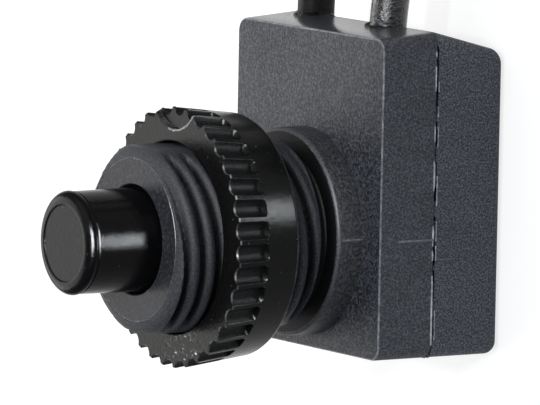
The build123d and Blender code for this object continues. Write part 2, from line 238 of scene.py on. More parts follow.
# Sealant beads, with a section in shares of their size: away from the lead, and out of the case
BEAD_SIZE = 0.18
BEAD_SWING = 1.2
BEAD_WAVES = 1.7
BEAD_STEPS = 48
BEAD_SECTION = ((-0.3, 0.0), (-0.3, 0.9), (0.0, 0.8), (0.5, 0.45), (0.8, 0.0), (0.6, -0.6))

# Strap tie
TIE_Y = 36.0
TIE_WIDTH = 3.0
TIE_THICKNESS = 0.35
TIE_LOW_X = -9.3
TIE_HIGH_X = -4.9
TIE_CORNER = 0.5
TIE_CORNER_STEPS = 6
TIE_EDGE = 0.25
TIE_EDGE_BEND = 0.6
TIE_INNER_EDGE = 0.08
TIE_HEAD_X = -7.1
TIE_HEAD_HALF_WIDTH = 1.9
TIE_HEAD_HALF_LENGTH = 1.4
TIE_HEAD_CORNER = 0.35
TIE_HEAD_HEIGHT = 1.3
TIE_HEAD_SINK = 0.2
TIE_HEAD_EDGE = (0.15, 0.2)

# Photograph's camera
CAMERA_PLACE = (391.2, 54.5, 259.8)
CAMERA_RIGHT = (0.5347, 0.0192, -0.8448)
CAMERA_UP = (-0.1057, 0.9934, -0.0444)
CAMERA_BACK = (0.8384, 0.1131, 0.5332)
CAMERA_LENS = 533.3
CAMERA_REACH = (10, 20000)
SENSOR_WIDTH = 36.0

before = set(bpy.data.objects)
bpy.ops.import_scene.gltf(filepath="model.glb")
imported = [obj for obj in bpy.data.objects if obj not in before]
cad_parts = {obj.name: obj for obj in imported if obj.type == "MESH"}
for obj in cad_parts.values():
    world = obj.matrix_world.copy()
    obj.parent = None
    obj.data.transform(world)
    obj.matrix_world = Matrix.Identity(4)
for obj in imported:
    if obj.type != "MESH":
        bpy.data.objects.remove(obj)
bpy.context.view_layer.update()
scene = bpy.context.scene


def smooth_step(low, high, value):
    """0 below low, 1 above high, and an even S between them."""
    share = min(1.0, max(0.0, (value - low) / (high - low)))
    return share * share * (3 - 2 * share)


# Mesh helpers

WEDGE_FACES = [(0, 1, 2), (5, 4, 3), (0, 3, 4, 1), (1, 4, 5, 2), (2, 5, 3, 0)]


def new_object(name, verts, faces, body, material, smooth_angle=40, accents=()):
    """A shaded mesh object that rides on a CAD body. Places come in millimetres.

    accents are (material, test) pairs for faces that have a finish of their own.
    """
    mesh = bpy.data.meshes.new(name)
    mesh.from_pydata([Vector(v) * MM for v in verts], [], faces)
    built = bmesh.new()
    built.from_mesh(mesh)
    bmesh.ops.remove_doubles(built, verts=built.verts, dist=WELD_DISTANCE * MM)
    bmesh.ops.recalc_face_normals(built, faces=built.faces)
    for face in built.faces:
        face.smooth = True
        for index, (_, test) in enumerate(accents):
            if test(face.normal, face.calc_center_median() / MM):
                face.material_index = index + 1
    limit = math.radians(smooth_angle)
    for edge in built.edges:
        if len(edge.link_faces) == 2 and edge.calc_face_angle(0) > limit:
            edge.smooth = False
    built.to_mesh(mesh)
    built.free()
    mesh.materials.append(material)
    for accent, _ in accents:
        mesh.materials.append(accent)
    piece = bpy.data.objects.new(name, mesh)
    scene.collection.objects.link(piece)
    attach(piece, body)
    return piece


def rings_to_faces(ring_count, ring_size, closed_stack=False):
    """Quads between neighbouring closed rings of points."""
    faces = []
    stack = ring_count if closed_stack else ring_count - 1
    for ring in range(stack):
        lower = ring * ring_size
        upper = (ring + 1) % ring_count * ring_size
        for step in range(ring_size):
            after = (step + 1) % ring_size
            faces.append((lower + step, lower + after, upper + after, upper + step))
    return faces


def even_columns(count):
    """Angles spread evenly round a circle."""
    return [2 * math.pi * step / count for step in range(count)]


def rounded_outline(half_width, low_y, high_y, radius, z):
    """Points round a rectangle with rounded corners, at one height."""
    points = []
    corners = (
        (half_width - radius, high_y - radius, 0),
        (radius - half_width, high_y - radius, 90),
        (radius - half_width, low_y + radius, 180),
        (half_width - radius, low_y + radius, 270),
    )
    for index, (x, y, start) in enumerate(corners):
        for step in range(CORNER_STEPS + 1):
            angle = math.radians(start + 90 * step / CORNER_STEPS)
            points.append((x + radius * math.cos(angle), y + radius * math.sin(angle), z))
        last = Vector(points[-1])
        next_x, next_y, next_start = corners[(index + 1) % 4]
        angle = math.radians(next_start)
        goal = Vector((next_x + radius * math.cos(angle), next_y + radius * math.sin(angle), z))
        for step in range(1, RUN_STEPS):
            points.append(tuple(last.lerp(goal, step / RUN_STEPS)))
    return points


def circle_like(outline, radius, z):
    """A circle's points at the angles at which an outline's points stand."""
    points = []
    for x, y, _ in outline:
        angle = math.atan2(y, x)
        points.append((radius * math.cos(angle), radius * math.sin(angle), z))
    return points


def uneven(first, second, seed, lean, even_y):
    """Points between two like outlines, moved to and fro by noise.

    lean is the change of the mean per millimetre of Y, and even_y is where the mean is halfway.
    """
    points = []
    for near, far in zip(first, second):
        place = Vector(near)
        share = 0.5 + lean * (place.y - even_y)
        share += SLOW_SWING * noise.noise(place * SLOW_WAVES + Vector((seed, 0, 0)))
        share += QUICK_SWING * noise.noise(place * QUICK_WAVES + Vector((0, seed, 0)))
        share *= 1 - smooth_step(*CLOSING_Y, place.y)
        points.append(tuple(place.lerp(Vector(far), min(1.0, max(0.0, share)))))
    return points


def quarter_levels(radius, steps):
    """(inset, rise) pairs round a quarter circle, from the side to the face."""
    pairs = []
    for step in range(1, steps + 1):
        angle = math.pi / 2 * step / steps
        pairs.append((radius * (1 - math.cos(angle)), radius * math.sin(angle)))
    return pairs


def stacked(levels, closed=False):
    """A body from outlines one after the other, capped at both ends or closed into a ring."""
    verts = [point for level in levels for point in level]
    size = len(levels[0])
    faces = rings_to_faces(len(levels), size, closed_stack=closed)
    if not closed:
        faces.append(tuple(reversed(range(size))))
        faces.append(tuple(range(len(verts) - size, len(verts))))
    return verts, faces


def lathed(profile, columns, shape=None, closed=False):
    """A body turned about Z from (radius, height) points; shape may move each point."""
    verts = []
    for row, (radius, z) in enumerate(profile):
        for angle in columns:
            point = (radius * math.cos(angle), radius * math.sin(angle), z)
            verts.append(shape(row, angle, radius, z) if shape else point)
    return verts, rings_to_faces(len(profile), len(columns), closed_stack=closed)


def joined(bodies):
    """One body from several (verts, faces) pairs."""
    all_verts, all_faces = [], []
    for verts, faces in bodies:
        start = len(all_verts)
        all_verts += verts
        all_faces += [tuple(start + corner for corner in face) for face in faces]
    return all_verts, all_faces


# Materials

GRAIN_RANGE = (0.42, 0.75)
GRAIN_DROP = 0.4
GRAIN_RISE = 2.0
GRAIN_DETAIL = 3
GRAIN_ROUGHNESS = 0.75
BROAD_DENSITY = 0.35
BROAD_DETAIL = 4
BROAD_SWING = 0.12
HOLLOW_RANGE = (0.1, 0.4)
HOLLOW_SHADE_TONE = 0.22
DUST_DENSITY = 1.6
DUST_COLOUR = (0.2, 0.2, 0.195)
LEAST_ROUGHNESS = 0.02
CALM_RELIEF = 0.08
STREAK_DENSITY = 6
STREAK_DETAIL = 3
STREAK_STRETCH = (1, 0.15, 1)
STREAK_TONE = 0.8
STREAK_GLOSS = (0.7, 1.3)
WHOLE = (0, 1)


def new_material(name):
    """A material, its node tree and its shader."""
    material = bpy.data.materials.new(name)
    material.use_nodes = True
    return material, material.node_tree, material.node_tree.nodes["Principled BSDF"]


def add_node(tree, kind, values=None, sources=None, operation=None):
    """A shader node with some sockets set to values and some fed from other nodes' outputs."""
    node = tree.nodes.new("ShaderNode" + kind)
    if operation:
        node.operation = operation
    for socket, value in (values or {}).items():
        node.inputs[socket].default_value = value
    for socket, output in (sources or {}).items():
        tree.links.new(output, node.inputs[socket])
    return node


def remapped(tree, value, from_range, to_range):
    """A value carried over from one range to another."""
    ends = {
        "From Min": from_range[0],
        "From Max": from_range[1],
        "To Min": to_range[0],
        "To Max": to_range[1],
    }
    return add_node(tree, "MapRange", ends, {"Value": value}).outputs["Result"]


def combined(tree, operation, first, second):
    """Two values put together by a math operation."""
    return add_node(tree, "Math", None, {0: first, 1: second}, operation).outputs[0]


def plastic(name, colour, roughness, grain, specular, speckle, dust=0.0, hollow=None, calm=None):
    """Moulded plastic: uneven tone, a fine grain in colour, bump and roughness, and specks of dust.

    grain is (grains per millimetre, bump height in millimetres, roughness swing). hollow names a
    point attribute, in millimetres, of how deep a point lies in a groove, where the tone is darkened as
    painted shade.
    calm is the stretch of Y, in millimetres, over which the bump dies out.
    """
    material, tree, shader = new_material(name)
    shader.inputs["Specular IOR Level"].default_value = specular
    place = add_node(tree, "TexCoord").outputs["Object"]
    density, height, swing = grain
    fine_values = {"Scale": density / MM, "Detail": GRAIN_DETAIL, "Roughness": GRAIN_ROUGHNESS}
    fine = add_node(tree, "TexNoise", fine_values, {"Vector": place}).outputs["Fac"]
    broad_values = {"Scale": BROAD_DENSITY / MM, "Detail": BROAD_DETAIL}
    broad = add_node(tree, "TexNoise", broad_values, {"Vector": place}).outputs["Fac"]

    grain_tones = (1 - GRAIN_DROP * speckle, 1 + GRAIN_RISE * speckle)
    grains = remapped(tree, fine, GRAIN_RANGE, grain_tones)
    patches = remapped(tree, broad, WHOLE, (1 - BROAD_SWING, 1 + BROAD_SWING))
    shade = combined(tree, "MULTIPLY", grains, patches)
    if hollow:
        depth = add_node(tree, "Attribute")
        depth.attribute_name = hollow
        painted_groove_shade = remapped(tree, depth.outputs["Fac"], HOLLOW_RANGE, (1, HOLLOW_SHADE_TONE))
        shade = combined(tree, "MULTIPLY", shade, painted_groove_shade)
    tone = add_node(tree, "VectorMath", {0: colour}, {"Scale": shade}, "SCALE")
    painted = tone.outputs["Vector"]
    if dust:
        cells = add_node(tree, "TexVoronoi", {"Scale": DUST_DENSITY / MM}, {"Vector": place})
        speck = add_node(tree, "Math", {1: dust}, {0: cells.outputs["Distance"]}, "LESS_THAN")
        under = {"Fac": speck.outputs[0], "Color1": painted}
        painted = add_node(tree, "MixRGB", {"Color2": (*DUST_COLOUR, 1)}, under).outputs[0]
    tree.links.new(painted, shader.inputs["Base Color"])

    swings = (max(LEAST_ROUGHNESS, roughness - swing), min(1.0, roughness + swing))
    tree.links.new(remapped(tree, fine, WHOLE, swings), shader.inputs["Roughness"])

    bump = add_node(tree, "Bump", {"Strength": 1.0, "Distance": height * MM}, {"Height": fine})
    if calm:
        along = add_node(tree, "SeparateXYZ", None, {"Vector": place}).outputs["Y"]
        fade = remapped(tree, along, (calm[0] * MM, calm[1] * MM), (1, CALM_RELIEF))
        tree.links.new(fade, bump.inputs["Strength"])
    tree.links.new(bump.outputs["Normal"], shader.inputs["Normal"])
    return material


def metal(name, colour, roughness):
    """Metal with fine drawn or rolled streaks."""
    material, tree, shader = new_material(name)
    shader.inputs["Metallic"].default_value = 1.0
    place = add_node(tree, "TexCoord").outputs["Object"]
    stretch = add_node(tree, "Mapping", {"Scale": STREAK_STRETCH}, {"Vector": place})
    streak_values = {"Scale": STREAK_DENSITY / MM, "Detail": STREAK_DETAIL}
    streaks = add_node(tree, "TexNoise", streak_values, {"Vector": stretch.outputs["Vector"]})
    share = streaks.outputs["Fac"]
    dark = [part * STREAK_TONE for part in colour]
    tone = add_node(tree, "MixRGB", {"Color1": (*dark, 1), "Color2": (*colour, 1)}, {"Fac": share})
    tree.links.new(tone.outputs[0], shader.inputs["Base Color"])
    gloss = [roughness * part for part in STREAK_GLOSS]
    tree.links.new(remapped(tree, share, WHOLE, gloss), shader.inputs["Roughness"])
    return material


# Case and its edges
ROUGH_MOULDING = (8, 0.12, 0.1)
ROUGHER_MOULDING = (9, 0.12, 0.1)
EDGE_HIGHLIGHT_GRAIN = (2.5, 0.02, 0.1)
housing_plastic = plastic(
    "housing_plastic", (0.075, 0.077, 0.086), 0.55, ROUGH_MOULDING, specular=0.15, speckle=1.0
)
rear_plastic = plastic(
    "rear_plastic", (0.09, 0.094, 0.106), 0.55, ROUGHER_MOULDING, specular=0.14, speckle=1.35, dust=0.1
)
# Painted shade: a darker copy of the housing's colour on the flat front, offsetting the stronger light
# that falls there.
face_plastic = plastic(
    "face_plastic", (0.027, 0.029, 0.037), 0.42, (6, 0.14, 0.25), specular=0.32, speckle=2.3
)
boss_plastic = plastic(
    "boss_plastic", (0.034, 0.035, 0.041), 0.45, (6, 0.08, 0.2), specular=0.17, speckle=1.4
)
# Painted highlight: a lighter band on the boss's rounded front edge.
boss_edge_highlight = plastic(
    "boss_edge_highlight", (0.07, 0.072, 0.081), 0.45, (6, 0.015, 0.1), specular=0.1, speckle=0.4
)
lead_end_plastic = plastic(
    "lead_end_plastic", (0.07, 0.072, 0.08), 0.2, (5, 0.012, 0.06), specular=0.2, speckle=0.2
)
# Painted highlight: a light colour on the front edge, the witness ridges and part of the gate recess's
# edge, standing in for light caught on those edges.
edge_highlight_paint = plastic("edge_highlight_paint", (0.19, 0.195, 0.21), 0.3, EDGE_HIGHLIGHT_GRAIN, specular=0.3, speckle=0.6)
# Painted highlight: a near-white colour on the flash beside the parting line, standing in for light
# caught on its edges.
flash_highlight_paint = plastic(
    "flash_highlight_paint", (0.42, 0.428, 0.44), 0.3, EDGE_HIGHLIGHT_GRAIN, specular=0.3, speckle=0.6
)
# Painted highlight: a lighter line on the fine step round the bushing's end.
end_edge_highlight = plastic("end_edge_highlight", (0.09, 0.093, 0.102), 0.3, EDGE_HIGHLIGHT_GRAIN, specular=0.1, speckle=0.7)
# Painted shade: near-black colour in the deep parting groove and in the gap between the thread and the
# boss, where shade falls.
recess_painted_shade = plastic(
    "recess_painted_shade", (0.012, 0.012, 0.013), 0.4, (8, 0.03, 0.1), specular=0.04, speckle=0.4
)

# Bushing, nut and button
SATIN_GRAIN = (4, 0.014, 0.1)
NUT_EDGE_AND_CHIP_GRAIN = (3, 0.02, 0.1)
GROOVE_ATTRIBUTE = "groove_depth"
bushing_plastic = plastic(
    "bushing_plastic",
    (0.046, 0.047, 0.054),
    0.42,
    (8, 0.06, 0.1),
    specular=0.06,
    speckle=0.6,
    hollow=GROOVE_ATTRIBUTE,
)
end_face_plastic = plastic(
    "end_face_plastic", (0.03, 0.031, 0.036), 0.25, (5, 0.014, 0.1), specular=0.05, speckle=0.6, dust=0.05
)
nut_plastic = plastic(
    "nut_plastic", (0.0075, 0.0074, 0.0072), 0.22, SATIN_GRAIN, specular=0.055, speckle=0.2, dust=0.06
)
scallop_plastic = plastic(
    "scallop_plastic", (0.009, 0.009, 0.009), 0.34, (7, 0.03, 0.1), specular=0.06, speckle=1.0
)
# Painted highlight: a lighter colour on the nut's ridge, front and rear edges, standing in for light
# caught on them.
nut_edge_highlight = plastic("nut_edge_highlight", (0.06, 0.06, 0.062), 0.3, NUT_EDGE_AND_CHIP_GRAIN, specular=0.05, speckle=0.6)
chip_plastic = plastic(
    "chip_plastic", (0.13, 0.13, 0.128), 0.3, NUT_EDGE_AND_CHIP_GRAIN, specular=0.2, speckle=0.6
)
button_plastic = plastic(
    "button_plastic", (0.005, 0.005, 0.0055), 0.17, SATIN_GRAIN, specular=0.05, speckle=0.2, dust=0.035
)

# Leads, tie and rotor
left_pvc = plastic("left_pvc", (0.014, 0.0135, 0.012), 0.45, (3, 0.03, 0.08), specular=0.1, speckle=0.6)
right_pvc = plastic(
    "right_pvc", (0.02, 0.02, 0.022), 0.14, (3.2, 0.08, 0.08), specular=0.62, speckle=0.3, calm=(15, 24)
)
# Near-black sealant: the bead is real, and its near-black colour also paints the contact shadow at the
# leads' roots.
sealant_and_contact_shade = plastic("sealant_and_contact_shade", (0.006, 0.006, 0.006), 0.15, (3, 0.05, 0.05), specular=0.12, speckle=0.3)
tie_plastic = plastic(
    "tie_plastic", (0.012, 0.012, 0.012), 0.35, (4, 0.005, 0.06), specular=0.4, speckle=0.1
)
rotor_plastic = plastic(
    "rotor_plastic", (0.72, 0.7, 0.64), 0.45, (4, 0.006, 0.06), specular=0.4, speckle=0.04
)

# Metals
brass = metal("brass", (0.78, 0.58, 0.28), 0.3)
copper = metal("copper", (0.82, 0.46, 0.3), 0.3)
silver = metal("silver", (0.9, 0.89, 0.86), 0.25)
steel = metal("steel", (0.62, 0.62, 0.61), 0.3)

# Housing


def case_level(inset, z, lead_y):
    """Outline of the case at one height, drawn in by an inset."""
    corner = max(LEAST_CORNER, CORNER_RADIUS - inset)
    return rounded_outline(HALF_WIDTH - inset, FAR_Y + inset, lead_y - inset, corner, z)


def cavity_level(inset, z):
    """Outline of the case's hollow at one height."""
    return rounded_outline(
        CAVITY_SIDE - inset, CAVITY_FAR_Y + inset, CAVITY_NEAR_Y - inset, CAVITY_CORNER - inset, z
    )


def front_lead_y(z):
    """Lead end of the front half at a height."""
    return RIDGE_Y + (FRONT_LEAD_Y - RIDGE_Y) * (z - PARTING_Z) / (FRONT_Z - PARTING_Z)


def rear_lead_y(z):
    """Lead end of the rear half at a height."""
    return REAR_LEAD_Y + (RIDGE_Y - REAR_LEAD_Y) * z / PARTING_Z


def parting_edge(side, lead_y, seed):
    """Levels of one half beside the parting line: an uneven groove, a broken flash line, the side."""
    groove = [case_level(depth, PARTING_Z, RIDGE_Y) for depth in GROOVE_DEPTHS]
    flash_z = PARTING_Z + side * GROOVE_WIDTH
    flash = [case_level(-height, flash_z, lead_y(flash_z)) for height in FLASH_HEIGHTS]
    side_z = PARTING_Z + side * FLASH_WIDTH
    return [
        uneven(groove[0], groove[1], seed, GROOVE_LEAN, GROOVE_EVEN_Y),
        uneven(flash[0], flash[1], seed + FLASH_SEED_STEP, FLASH_LEAN, FLASH_EVEN_Y),
        case_level(0, side_z, lead_y(side_z)),
    ]


def witness_ridge(x, low_z, high_z):
    """A fine ridge on the +X side, where the mould's halves met."""
    corners = []
    for z in (low_z, high_z):
        corners.append((x - WITNESS_HEIGHT, WITNESS_Y - WITNESS_HALF_WIDTH, z))
        corners.append((x - WITNESS_HEIGHT, WITNESS_Y + WITNESS_HALF_WIDTH, z))
        corners.append((x + WITNESS_HEIGHT, WITNESS_Y, z))
    return corners, WEDGE_FACES


def at_lead_end(normal, middle):
    """Whether a face is on the outside of the lead end."""
    return normal.y > FLAT_SLOPE and middle.y > (CAVITY_NEAR_Y + REAR_LEAD_Y) / 2


def on_front_face(normal, middle):
    """Whether a face is on the flat front, which takes a darker copy of the housing's colour as painted
    shade.
    """
    return normal.z > FLAT_SLOPE and middle.z > FRONT_Z - FRONT_EDGE


def on_front_edge(normal, middle):
    """Whether a face is on the rounded edge round the front face, which is painted with a highlight."""
    return EDGE_SLOPE < normal.z < FLAT_SLOPE and FRONT_Z - FRONT_EDGE < middle.z < FRONT_Z


def in_parting_groove(normal, middle):
    """Whether a face is where the parting groove is deep, on the two long sides, and painted dark as
    shade.
    """
    between_corners = FAR_Y + CORNER_RADIUS < middle.y < RIDGE_Y - CORNER_RADIUS
    inside = CAVITY_SIDE < abs(middle.x) < HALF_WIDTH - GROOVE_SEEN
    return between_corners and inside and abs(middle.z - PARTING_Z) < GROOVE_WIDTH


def on_flash(normal, middle):
    """Whether a face is on flash that stands proud beside the parting line; it is painted near-white as a
    highlight.
    """
    beside = GROOVE_WIDTH < abs(middle.z - PARTING_Z) < FLASH_WIDTH
    return beside and abs(middle.x) > HALF_WIDTH + FLASH_SEEN


def on_witness(normal, middle):
    """Whether a face is on a witness ridge, on the case's +X side or on the boss; these ridges are
    painted with a highlight.
    """
    on_ridge = abs(middle.y - WITNESS_Y) < WITNESS_HALF_WIDTH and abs(normal.y) > WITNESS_SLOPE
    return on_ridge and middle.x > BOSS_RADIUS - WITNESS_HEIGHT


front_levels = [cavity_level(0, PARTING_Z)]
front_levels += parting_edge(1, front_lead_y, FRONT_SEED)
edge_base = FRONT_Z - FRONT_EDGE
front_levels.append(case_level(0, edge_base, front_lead_y(edge_base)))
for inset, rise in quarter_levels(FRONT_EDGE, FRONT_EDGE_STEPS):
    front_levels.append(case_level(inset, edge_base + rise, front_lead_y(edge_base + rise)))
root_radius = (BOSS_RADIUS + GUIDE_RADIUS) / 2
front_levels.append(circle_like(front_levels[-1], root_radius, FRONT_Z))
front_levels.append(circle_like(cavity_level(0, INNER_FRONT_Z), root_radius, INNER_FRONT_Z))
front_levels.append(cavity_level(0, INNER_FRONT_Z))
front_bodies = [
    stacked(front_levels, closed=True),
    witness_ridge(HALF_WIDTH, PARTING_Z + GROOVE_WIDTH, WITNESS_TOP_Z),
    witness_ridge(BOSS_RADIUS, FRONT_Z, BOSS_Z - BOSS_EDGE),
]
front_accents = (
    (lead_end_plastic, at_lead_end),
    (recess_painted_shade, in_parting_groove),
    (face_plastic, on_front_face),
    (edge_highlight_paint, on_front_edge),
    (flash_highlight_paint, on_flash),
    (edge_highlight_paint, on_witness),
)
front_case = new_object(
    "front_case", *joined(front_bodies), "case", housing_plastic, smooth_angle=50, accents=front_accents
)

rear_levels = []
for inset, drop in reversed(quarter_levels(REAR_EDGE, REAR_EDGE_STEPS)):
    rear_levels.append(case_level(inset, REAR_EDGE - drop, rear_lead_y(REAR_EDGE - drop)))
rear_levels.append(case_level(0, REAR_EDGE, rear_lead_y(REAR_EDGE)))
rear_levels += reversed(parting_edge(-1, rear_lead_y, REAR_SEED))
lip_inset = LIP_GAP + LIP_THICKNESS
rear_levels += [
    cavity_level(LIP_GAP, PARTING_Z),
    cavity_level(LIP_GAP, PARTING_Z + LIP_RISE),
    cavity_level(lip_inset, PARTING_Z + LIP_RISE),
    cavity_level(lip_inset, REAR_WALL_Z),
]
rear_accents = (
    (lead_end_plastic, at_lead_end),
    (recess_painted_shade, in_parting_groove),
    (flash_highlight_paint, on_flash),
)
rear_case = new_object(
    "rear_case", *stacked(rear_levels), "case", rear_plastic, smooth_angle=50, accents=rear_accents
)

# Bushing


def thread_radius(angle, z):
    """Surface of the moulded thread: rounded ridges that die out at the mould's parting flats."""
    turn = (z - GROOVE_Z) / THREAD_PITCH - THREAD_STARTS * angle / (2 * math.pi)
    from_groove = abs(turn - round(turn))
    groove = 1 - smooth_step(THREAD_FLOOR, THREAD_GROOVE, from_groove)
    off_crest = min(1.0, (0.5 - from_groove) / (0.5 - THREAD_GROOVE))
    crown = THREAD_CROWN * (1 - off_crest**2)
    ends = smooth_step(THREAD_Z, THREAD_Z + THREAD_RUN_IN, z)
    flats = 1 - smooth_step(*FLAT_FADE, abs(math.sin(angle)))
    relief = THREAD_CROWN - crown + (THREAD_DEPTH - THREAD_CROWN) * groove
    return THREAD_RADIUS - relief * ends * flats


bushing_profile = [(BOSS_RADIUS, FRONT_Z - ROOT_SINK), (BOSS_RADIUS, BOSS_Z - BOSS_EDGE)]
for inset, rise in quarter_levels(BOSS_EDGE, BOSS_EDGE_STEPS):
    bushing_profile.append((BOSS_RADIUS - inset, BOSS_Z - BOSS_EDGE + rise))
bushing_profile += [
    (NECK_RADIUS + NECK_FILLET, BOSS_Z),
    (NECK_RADIUS, BOSS_Z + NECK_FILLET),
    (NECK_RADIUS, THREAD_Z - THREAD_RUN_OUT),
]
first_thread_row = len(bushing_profile)
for row in range(THREAD_ROWS + 1):
    z = THREAD_Z + (BUSHING_END_Z - CHAMFER - THREAD_Z) * row / THREAD_ROWS
    bushing_profile.append((THREAD_RADIUS, z))
for row in range(1, CHAMFER_ROWS + 1):
    angle = END_ROUND_TURN * row / CHAMFER_ROWS
    inward = CHAMFER_REACH * (1 - math.cos(angle)) / (1 - math.cos(END_ROUND_TURN))
    upward = CHAMFER * math.sin(angle) / math.sin(END_ROUND_TURN)
    bushing_profile.append((THREAD_RADIUS - inward, BUSHING_END_Z - CHAMFER + upward))
last_chamfer_row = len(bushing_profile) - 1
end_radius = THREAD_RADIUS - CHAMFER_REACH
bushing_profile += [
    (end_radius - END_STEP, BUSHING_END_Z - END_STEP),
    (end_radius - 2 * END_STEP, BUSHING_END_Z - END_STEP),
    (end_radius - 3 * END_STEP, BUSHING_END_Z),
    (MOUTH_RADIUS + MOUTH_EDGE, BUSHING_END_Z),
    (MOUTH_RADIUS, BUSHING_END_Z - MOUTH_EDGE),
    (MOUTH_RADIUS, MOUTH_STEP_Z),
    (GUIDE_RADIUS, MOUTH_STEP_Z),
    (GUIDE_RADIUS, INNER_FRONT_Z),
    (root_radius + ROOT_LAP, INNER_FRONT_Z),
    (root_radius + ROOT_LAP, FRONT_Z - ROOT_SINK),
]


def bushing_shape(row, angle, radius, z):
    """Places a point of the bushing, with the thread and its two flats."""
    if first_thread_row <= row <= last_chamfer_row:
        radius = min(radius, thread_radius(angle, z))
    x, y = radius * math.cos(angle), radius * math.sin(angle)
    if row >= first_thread_row:
        y = min(FLAT_Y, max(-FLAT_Y, y))
    return (x, y, z)


def on_end_face(normal, middle):
    """Whether a face is on the bushing's flat end."""
    return normal.z > FLAT_SLOPE and middle.z > BUSHING_END_Z - TOUCH


def on_boss(normal, middle):
    """Whether a face is on the outside of the boss."""
    return middle.z < BOSS_Z and math.hypot(middle.x, middle.y) > BOSS_RADIUS - BOSS_EDGE


def on_boss_edge(normal, middle):
    """Whether a face is on the rounded edge of the boss, which carries a painted highlight."""
    return EDGE_SLOPE < normal.z < FLAT_SLOPE and BOSS_Z - BOSS_EDGE < middle.z < BOSS_Z


def on_end_edge(normal, middle):
    """Whether a face is on the fine step round the bushing's flat end, which carries a painted highlight.
    """
    inward = end_radius - math.hypot(middle.x, middle.y)
    return 0 < inward < 3 * END_STEP and middle.z > BUSHING_END_Z - 2 * END_STEP


def in_recess(normal, middle):
    """Whether a face is in the gap between the thread and the boss, which is painted dark as shade."""
    outside = MOUTH_RADIUS + MOUTH_WALL < math.hypot(middle.x, middle.y) < BOSS_RADIUS - BOSS_EDGE
    return outside and BOSS_Z - TOUCH < middle.z < THREAD_Z


bushing = new_object(
    "threaded_bushing",
    *lathed(bushing_profile, even_columns(BUSHING_COLUMNS), bushing_shape, closed=True),
    "case",
    bushing_plastic,
    smooth_angle=30,
    accents=(
        (recess_painted_shade, in_recess),
        (end_face_plastic, on_end_face),
        (boss_plastic, on_boss),
        (end_edge_highlight, on_end_edge),
        (boss_edge_highlight, on_boss_edge),
    ),
)
# Depth of each point in the thread's grooves, which the bushing's material darkens as painted shade.
groove_depth = bushing.data.attributes.new(GROOVE_ATTRIBUTE, "FLOAT", "POINT")
for vertex, depth in zip(bushing.data.vertices, groove_depth.data):
    x, y, z = vertex.co / MM
    if z > THREAD_Z and math.hypot(x, y) > MOUTH_RADIUS + MOUTH_WALL:
        drawn_in = CHAMFER_REACH * smooth_step(BUSHING_END_Z - CHAMFER, BUSHING_END_Z, z)
        depth.value = max(0.0, THREAD_RADIUS - drawn_in - thread_radius(math.atan2(y, x), z))
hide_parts("front_housing")
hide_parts("front_housing")
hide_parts("rear_cover")

# Ring nut

# Where the columns stand in half a pitch, from a scallop's middle out, closest at its edge
HALF_PITCH_COLUMNS = (0.05, 0.14, 0.22, 0.30, 0.36, 0.395, 0.414, 0.455)
scallop_end_z = NUT_END_Z - SCALLOP_LENGTH
scallop_pitch = 2 * math.pi / SCALLOP_COUNT


def nut_outer_radius(z):
    """The nut's tapered rim, without its scallops."""
    share = (z - NUT_Z) / (NUT_END_Z - NUT_Z)
    return NUT_REAR_RADIUS + (NUT_RADIUS - NUT_REAR_RADIUS) * share


def scalloped_radius(angle, z):
    """The nut's rim with its concave scallops, which end in a rounded step."""
    rim = nut_outer_radius(z)
    off_centre = (angle - SCALLOP_TURN) / scallop_pitch
    off_centre = (off_centre - round(off_centre)) * scallop_pitch
    middle = rim - SCALLOP_DEPTH + SCALLOP_RADIUS
    across = middle * math.sin(off_centre)
    if abs(across) >= SCALLOP_RADIUS:
        return rim
    floor = middle * math.cos(off_centre) - math.sqrt(SCALLOP_RADIUS**2 - across**2)
    into = (z - scallop_end_z) / SCALLOP_END_ROUND
    corner = SCALLOP_CORNER * (across / SCALLOP_RADIUS) ** 4
    return rim - max(0.0, rim - floor) * smooth_step(corner, corner + SCALLOP_RISE, into)


nut_columns = []
for scallop in range(SCALLOP_COUNT):
    centre = SCALLOP_TURN + 2 * math.pi * scallop / SCALLOP_COUNT
    phases = [-phase for phase in reversed(HALF_PITCH_COLUMNS)] + list(HALF_PITCH_COLUMNS) + [0.5]
    for phase in phases:
        nut_columns.append(centre + 2 * math.pi * phase / SCALLOP_COUNT)

nut_profile = [
    (NUT_BORE + NUT_COUNTERSINK, NUT_Z),
    (NUT_REAR_RADIUS - NUT_REAR_EDGE, NUT_Z),
    (NUT_REAR_RADIUS - NUT_REAR_EDGE * NUT_EDGE_BEND, NUT_Z + NUT_REAR_EDGE * NUT_EDGE_BEND),
]
first_rim_row = len(nut_profile)
rim_low, rim_high = NUT_Z + NUT_REAR_EDGE, NUT_END_Z - NUT_FRONT_EDGE
for row in range(RIM_ROWS + 1):
    z = rim_low + (rim_high - rim_low) * row / RIM_ROWS
    nut_profile.append((nut_outer_radius(z), z))
first_face_row = len(nut_profile)
face_outer, face_inner = NUT_RADIUS - NUT_FRONT_EDGE, NUT_BORE + NUT_COUNTERSINK
for row in range(FACE_ROWS + 1):
    nut_profile.append((face_outer + (face_inner - face_outer) * row / FACE_ROWS, NUT_END_Z))
nut_profile += [
    (NUT_BORE, NUT_END_Z - NUT_COUNTERSINK),
    (NUT_BORE, NUT_Z + NUT_COUNTERSINK),
]


